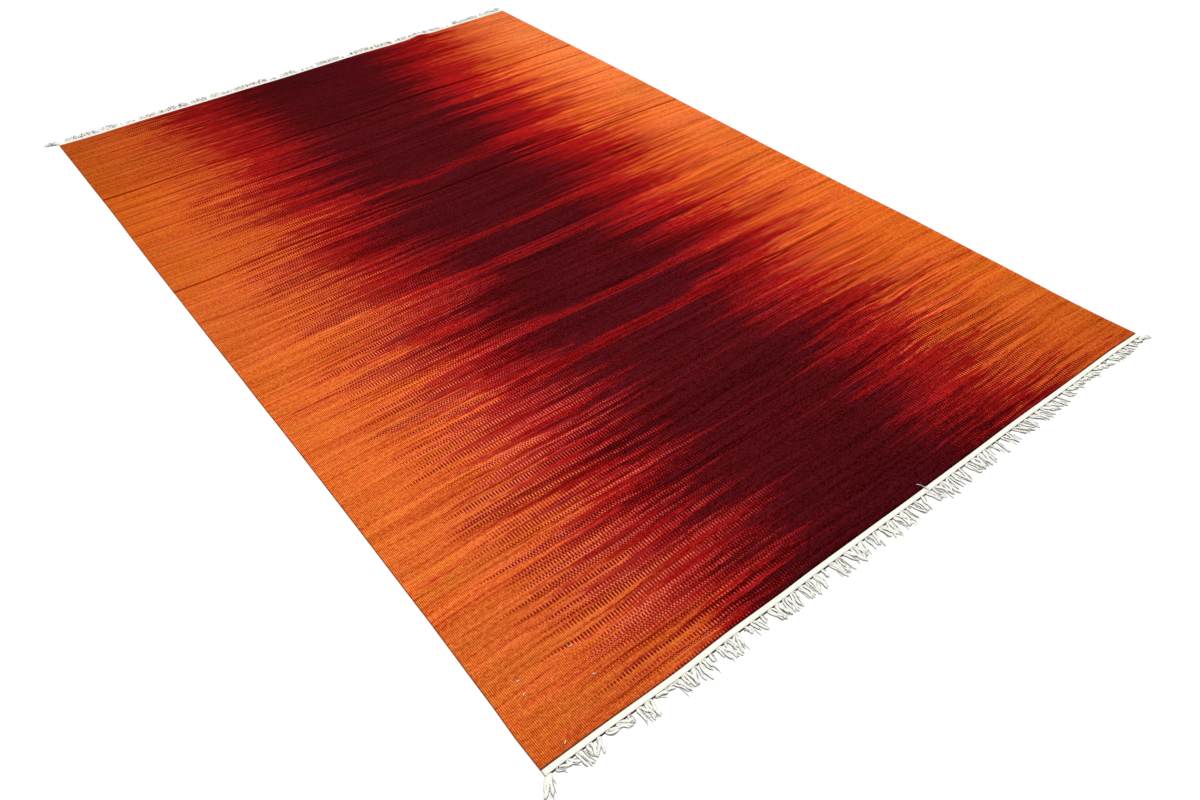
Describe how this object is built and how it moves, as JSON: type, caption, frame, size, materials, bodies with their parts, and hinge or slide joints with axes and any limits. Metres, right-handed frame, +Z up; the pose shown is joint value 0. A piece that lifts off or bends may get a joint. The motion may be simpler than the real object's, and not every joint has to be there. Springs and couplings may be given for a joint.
{
  "type": "kilim rug",
  "caption": "Flat-woven wool rug lying flat, shaded from orange to burgundy across its width, with cream end bands and knotted fringes.",
  "frame": {"origin": "on the floor under the middle of the rug", "axes": "+Z up, +Y along the length towards the far end, +X across the width"},
  "size_m": [2.0086, 3.1981, 0.0116],
  "materials": {
    "wool_field": "matt ribbed weft-faced wool",
    "cotton_fringe": "matt undyed cotton yarn"
  },
  "bodies": {
    "root": {"kilim_field": "wool_field", "near_end_fringe": "cotton_fringe", "far_end_fringe": "cotton_fringe"}
  },
  "joints": []
}
